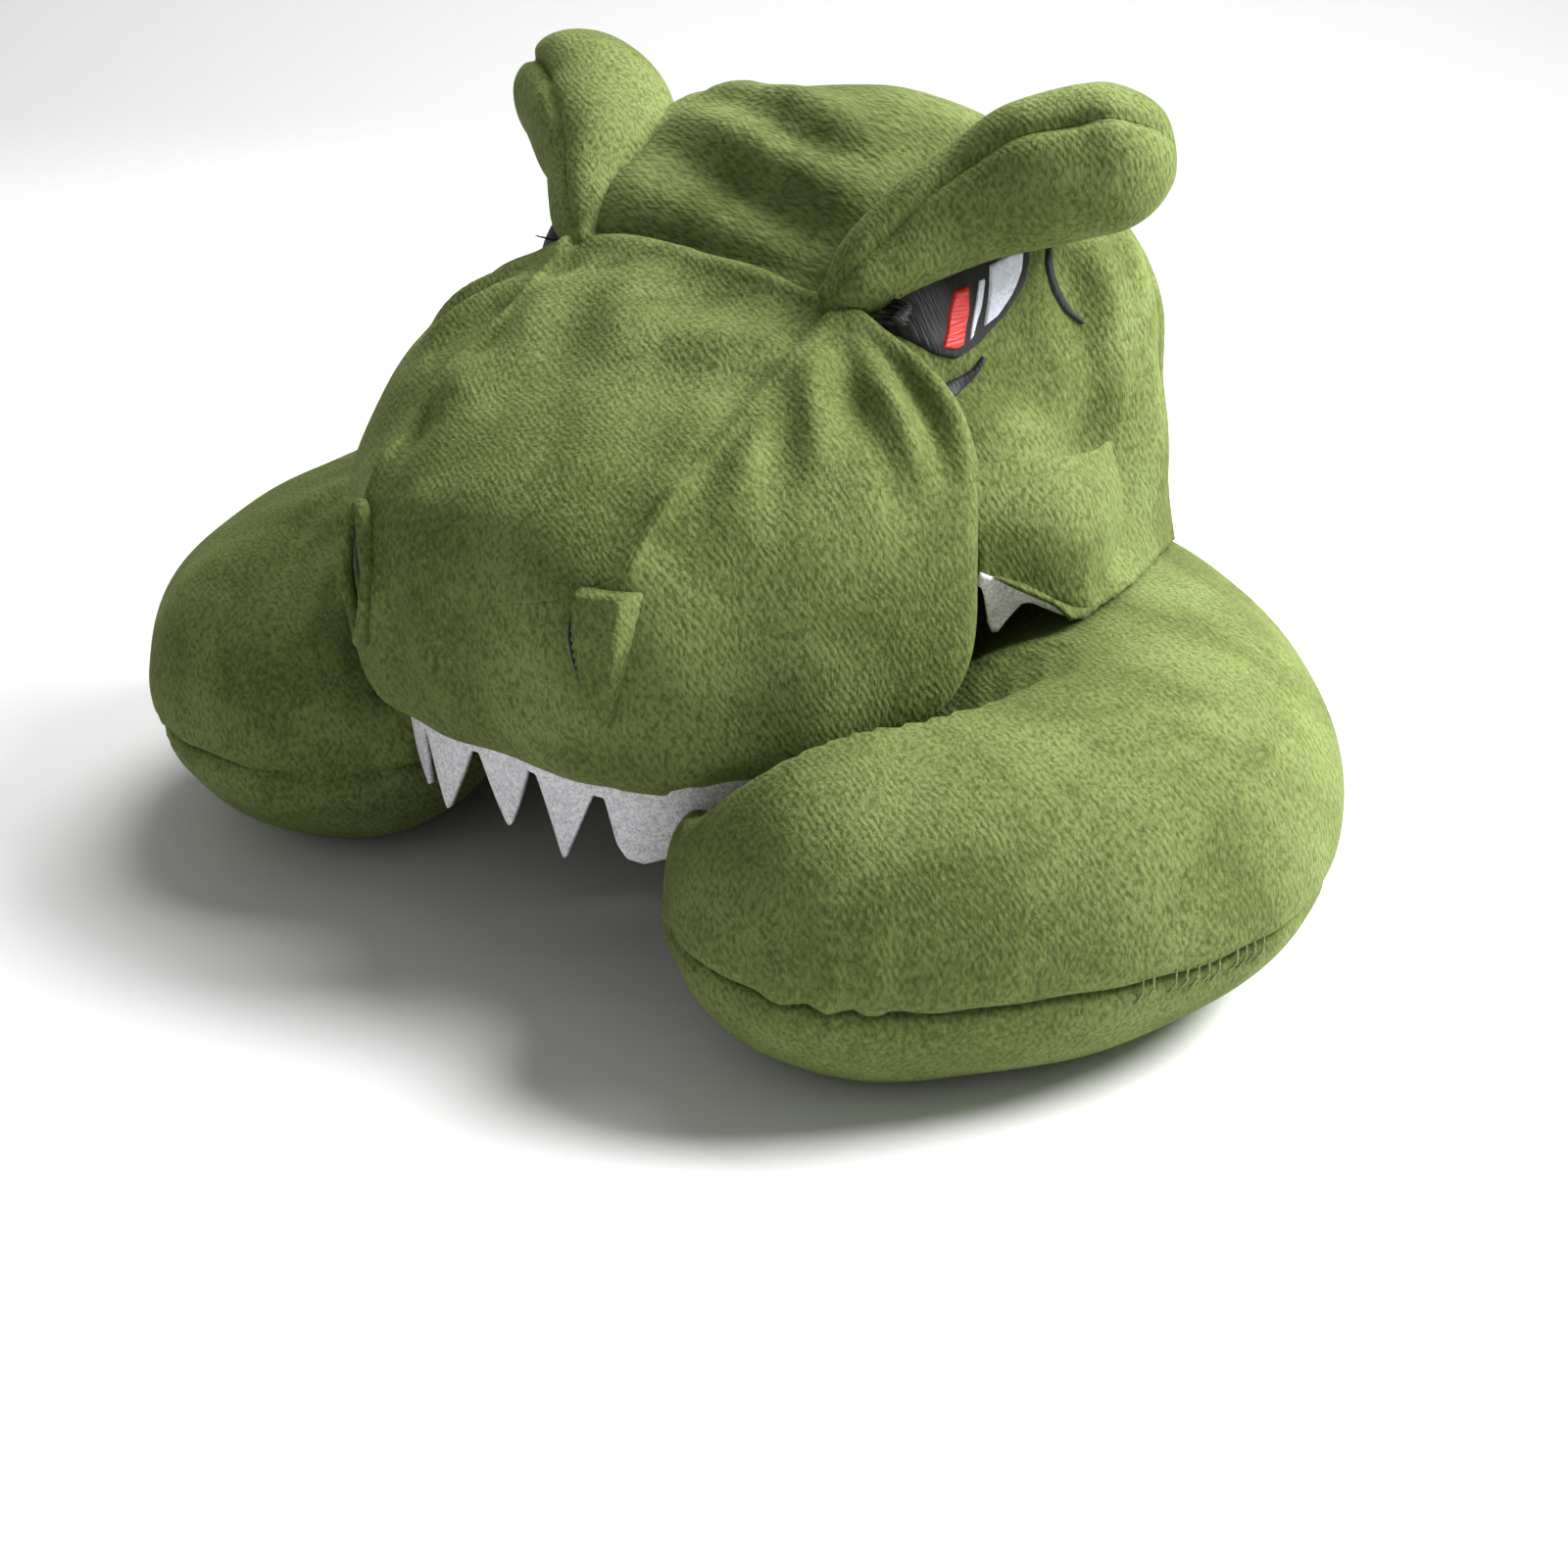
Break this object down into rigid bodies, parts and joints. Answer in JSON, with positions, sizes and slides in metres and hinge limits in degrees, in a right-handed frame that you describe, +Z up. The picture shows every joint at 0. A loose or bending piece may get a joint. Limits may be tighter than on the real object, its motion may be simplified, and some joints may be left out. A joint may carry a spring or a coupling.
{
  "type": "hooded neck pillow",
  "caption": "Soft horseshoe neck pillow with a plush hood shaped as a toothed animal's upper head, which tips back off the pillow.",
  "frame": {"origin": "middle of the pillow's footprint, on the surface it rests on", "axes": "+Z up, the animal faces -Y, +X is the animal's left"},
  "size_m": [0.34, 0.2373, 0.2105],
  "materials": {
    "green_plush": "short-pile plush, soft sheen",
    "fibre_filling": "loose polyester fibre",
    "red_lining": "smooth woven lining",
    "red_webbing": "twill webbing",
    "white_felt": "matt pressed felt",
    "black_thread": "satin-stitch embroidery",
    "red_thread": "satin-stitch embroidery",
    "green_thread": "sewing thread"
  },
  "bodies": {
    "pillow": {"pillow_back_filling": "fibre_filling", "pillow_bottom_cover": "green_plush", "pillow_top_cover": "green_plush"},
    "left_arm": {"closing_stitches": "green_thread", "left_arm_filling": "fibre_filling"},
    "right_arm": {"right_arm_filling": "fibre_filling"},
    "hood": {"hood_back_panel": "green_plush", "hood_crown_panel": "green_plush", "hood_left_side_panel": "green_plush", "hood_lining_left": "red_lining", "hood_lining_right": "red_lining", "hood_right_side_panel": "green_plush", "left_brow_filling": "fibre_filling", "left_brow_inner_panel": "green_plush", "left_brow_outer_panel": "green_plush", "left_eye_black_embroidery": "black_thread", "left_eye_lower_crease": "black_thread", "left_eye_rear_crease": "black_thread", "left_eye_red_embroidery": "red_thread", "left_eye_white_felt": "white_felt", "left_eye_white_stripe": "white_felt", "left_mouth_corner_flap": "green_plush", "left_side_teeth": "white_felt", "right_brow_filling": "fibre_filling", "right_brow_inner_panel": "green_plush", "right_brow_outer_panel": "green_plush", "right_eye_black_embroidery": "black_thread", "right_eye_lower_crease": "black_thread", "right_eye_rear_crease": "black_thread", "right_eye_red_embroidery": "red_thread", "right_eye_white_felt": "white_felt", "right_eye_white_stripe": "white_felt", "right_mouth_corner_flap": "green_plush", "right_side_teeth": "white_felt"},
    "snout": {"forehead_lining": "red_lining", "left_nostril_lining": "black_thread", "left_nostril_tab": "green_plush", "palate_edge_band": "red_webbing", "palate_lining": "red_lining", "right_nostril_lining": "black_thread", "right_nostril_tab": "green_plush", "snout_filling": "fibre_filling", "snout_left_cheek": "green_plush", "snout_right_cheek": "green_plush", "snout_top_panel": "green_plush", "teeth_strip": "white_felt"}
  },
  "joints": [
    {"name": "left_arm_bend", "type": "hinge", "parent": "pillow", "child": "left_arm", "pos_m": [0.13356, 0.0675, 0.044], "axis": [0, 0, 1], "range_deg": [0, 12], "stiffness_Nm_per_rad": 0.6, "deforming": ["pillow_top_cover", "pillow_bottom_cover"]},
    {"name": "right_arm_bend", "type": "hinge", "parent": "pillow", "child": "right_arm", "pos_m": [-0.13356, 0.0675, 0.044], "axis": [0, 0, -1], "range_deg": [0, 12], "stiffness_Nm_per_rad": 0.6, "deforming": ["pillow_top_cover", "pillow_bottom_cover"]},
    {"name": "hood_tilt", "type": "hinge", "parent": "pillow", "child": "hood", "pos_m": [0, 0.0935, 0.086], "axis": [-1, 0, 0], "range_deg": [0, 75]},
    {"name": "snout_lift", "type": "hinge", "parent": "hood", "child": "snout", "pos_m": [0, -0.02175, 0.1665], "axis": [-1, 0, 0], "range_deg": [0, 25]}
  ]
}
